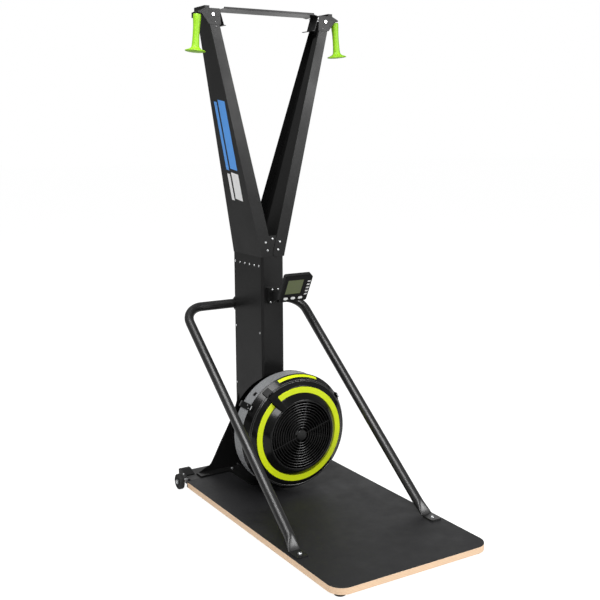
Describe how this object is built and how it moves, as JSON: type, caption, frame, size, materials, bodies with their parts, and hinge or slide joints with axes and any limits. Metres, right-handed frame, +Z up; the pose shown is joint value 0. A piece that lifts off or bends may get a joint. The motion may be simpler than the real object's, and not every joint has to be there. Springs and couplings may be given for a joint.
{
  "type": "ski trainer machine",
  "caption": "Ski trainer machine with a fan flywheel, a Y-shaped column, pull cords with flared handles, a monitor, a bent-tube brace and a plywood platform.",
  "frame": {"origin": "on the floor at the middle of the footprint", "axes": "+Z up, +X to the right of a user who faces the machine, -Y towards the user and the front edge of the platform"},
  "size_m": [0.7746, 1.3193, 2.066],
  "materials": {
    "black_paint": "semi-gloss black powder coat",
    "black_plastic": "black moulded plastic, soft gloss",
    "plywood": "light plywood with a clear finish",
    "rubber": "matte black rubber with a fine texture",
    "tyre": "black wheel rubber",
    "bright_steel": "zinc-plated steel",
    "grey_mesh": "grey perforated sheet",
    "lime": "bright yellow trim",
    "grip_green": "soft yellow-green grip",
    "cord": "braided black cord",
    "screen": "olive liquid-crystal display",
    "white_plastic": "white keys",
    "fan_plastic": "dark fan plastic"
  },
  "bodies": {
    "frame": {"platform_board": "plywood", "platform_mat": "rubber", "foot_front_left": "rubber", "foot_front_right": "rubber", "foot_rear_left": "rubber", "foot_rear_right": "rubber", "rear_beam": "black_paint", "base_frame": "black_paint", "column_side_left": "black_paint", "column_side_right": "black_paint", "column_front": "black_paint", "column_back": "black_paint", "arm_left": "black_paint", "arm_right": "black_paint", "pulley_bracket_left": "black_paint", "pulley_bracket_right": "black_paint", "crossbar": "black_paint", "brace_tube": "black_paint", "brace_clamp": "black_paint", "bearing_bridge": "black_paint", "monitor_bracket": "black_paint", "beam_end_block_left": "black_plastic", "beam_end_block_right": "black_plastic", "housing_rear": "black_plastic", "housing_front": "black_plastic", "fan_grille": "black_plastic", "wheel_axle_left": "bright_steel", "wheel_axle_right": "bright_steel", "top_pulley_pin_left": "bright_steel", "top_pulley_pin_right": "bright_steel", "bearing_front": "bright_steel", "bearing_rear": "bright_steel", "bungee_anchor_rod": "bright_steel", "monitor_tilt_pin": "bright_steel", "housing_band": "grey_mesh", "accent_ring": "lime", "drive_cord_left": "cord", "drive_cord_right": "cord", "return_bungee_left": "cord", "return_bungee_right": "cord"},
    "flywheel": {"fan_wheel": "fan_plastic", "fan_axle": "bright_steel"},
    "spool_left": {"cord_spool_left": "black_plastic"},
    "spool_right": {"cord_spool_right": "black_plastic"},
    "top_pulley_left": {"top_pulley_left": "black_plastic"},
    "top_pulley_right": {"top_pulley_right": "black_plastic"},
    "idler_left": {"idler_pulley_left": "black_plastic"},
    "idler_right": {"idler_pulley_right": "black_plastic"},
    "handle_left": {"handle_left": "grip_green"},
    "handle_right": {"handle_right": "grip_green"},
    "damper": {"damper_lever": "black_plastic"},
    "monitor": {"monitor_back": "black_plastic", "monitor_bezel": "black_plastic", "monitor_screen": "screen"},
    "button_1": {"monitor_button_1": "white_plastic"},
    "button_2": {"monitor_button_2": "white_plastic"},
    "button_3": {"monitor_button_3": "white_plastic"},
    "wheel_left": {"transport_wheel_left": "tyre"},
    "wheel_right": {"transport_wheel_right": "tyre"}
  },
  "joints": [
    {"name": "handle_left_pull", "type": "slide", "parent": "frame", "child": "handle_left", "axis": [-0.0872, 0, -0.9962], "range_m": [0, 1.2], "stiffness_N_per_m": 8, "springref_m": -1.5},
    {"name": "spool_left_turn", "type": "hinge", "parent": "frame", "child": "spool_left", "pos_m": [0, 0.4135, 0.309], "axis": [0, 1, 0], "range_deg": [-2770, 0]},
    {"name": "idler_left_turn", "type": "hinge", "parent": "frame", "child": "idler_left", "pos_m": [-0.0363, 0.3735, 1.05], "axis": [0, 1, 0], "range_deg": [-6100, 0]},
    {"name": "top_pulley_left_turn", "type": "hinge", "parent": "frame", "child": "top_pulley_left", "pos_m": [-0.266, 0.3735, 2.033], "axis": [0, 1, 0], "range_deg": [-4600, 0]},
    {"name": "handle_right_pull", "type": "slide", "parent": "frame", "child": "handle_right", "axis": [0.0872, 0, -0.9962], "range_m": [0, 1.2], "stiffness_N_per_m": 8, "springref_m": -1.5},
    {"name": "spool_right_turn", "type": "hinge", "parent": "frame", "child": "spool_right", "pos_m": [0, 0.4655, 0.309], "axis": [0, 1, 0], "range_deg": [-2770, 0]},
    {"name": "idler_right_turn", "type": "hinge", "parent": "frame", "child": "idler_right", "pos_m": [0.0363, 0.3735, 1.05], "axis": [0, 1, 0], "range_deg": [0, 6100]},
    {"name": "top_pulley_right_turn", "type": "hinge", "parent": "frame", "child": "top_pulley_right", "pos_m": [0.266, 0.3735, 2.033], "axis": [0, 1, 0], "range_deg": [0, 4600]},
    {"name": "flywheel_spin", "type": "hinge", "parent": "frame", "child": "flywheel", "pos_m": [0, 0.2595, 0.309], "axis": [0, 1, 0], "continuous": true},
    {"name": "damper_swing", "type": "hinge", "parent": "frame", "child": "damper", "pos_m": [0, 0.1395, 0.309], "axis": [0, 1, 0], "range_deg": [0, 71]},
    {"name": "monitor_tilt", "type": "hinge", "parent": "frame", "child": "monitor", "pos_m": [0, 0.21475, 0.91808], "axis": [1, 0, 0], "range_deg": [-40, 20]},
    {"name": "button_1_press", "type": "slide", "parent": "monitor", "child": "button_1", "axis": [0, 0.8829, 0.4695], "range_m": [0, 0.001], "stiffness_N_per_m": 800, "springref_m": -0.001},
    {"name": "button_2_press", "type": "slide", "parent": "monitor", "child": "button_2", "axis": [0, 0.8829, 0.4695], "range_m": [0, 0.001], "stiffness_N_per_m": 800, "springref_m": -0.001},
    {"name": "button_3_press", "type": "slide", "parent": "monitor", "child": "button_3", "axis": [0, 0.8829, 0.4695], "range_m": [0, 0.001], "stiffness_N_per_m": 800, "springref_m": -0.001},
    {"name": "wheel_left_spin", "type": "hinge", "parent": "frame", "child": "wheel_left", "pos_m": [-0.37, 0.5695, 0.0355], "axis": [1, 0, 0], "continuous": true},
    {"name": "wheel_right_spin", "type": "hinge", "parent": "frame", "child": "wheel_right", "pos_m": [0.37, 0.5695, 0.0355], "axis": [1, 0, 0], "continuous": true}
  ],
  "couplings": [
    {"joint": "spool_left_turn", "follows": "handle_left_pull", "rad_per_m": -40},
    {"joint": "idler_left_turn", "follows": "handle_left_pull", "rad_per_m": -88.496},
    {"joint": "top_pulley_left_turn", "follows": "handle_left_pull", "rad_per_m": -66.667},
    {"joint": "spool_right_turn", "follows": "handle_right_pull", "rad_per_m": -40},
    {"joint": "idler_right_turn", "follows": "handle_right_pull", "rad_per_m": 88.496},
    {"joint": "top_pulley_right_turn", "follows": "handle_right_pull", "rad_per_m": 66.667}
  ]
}
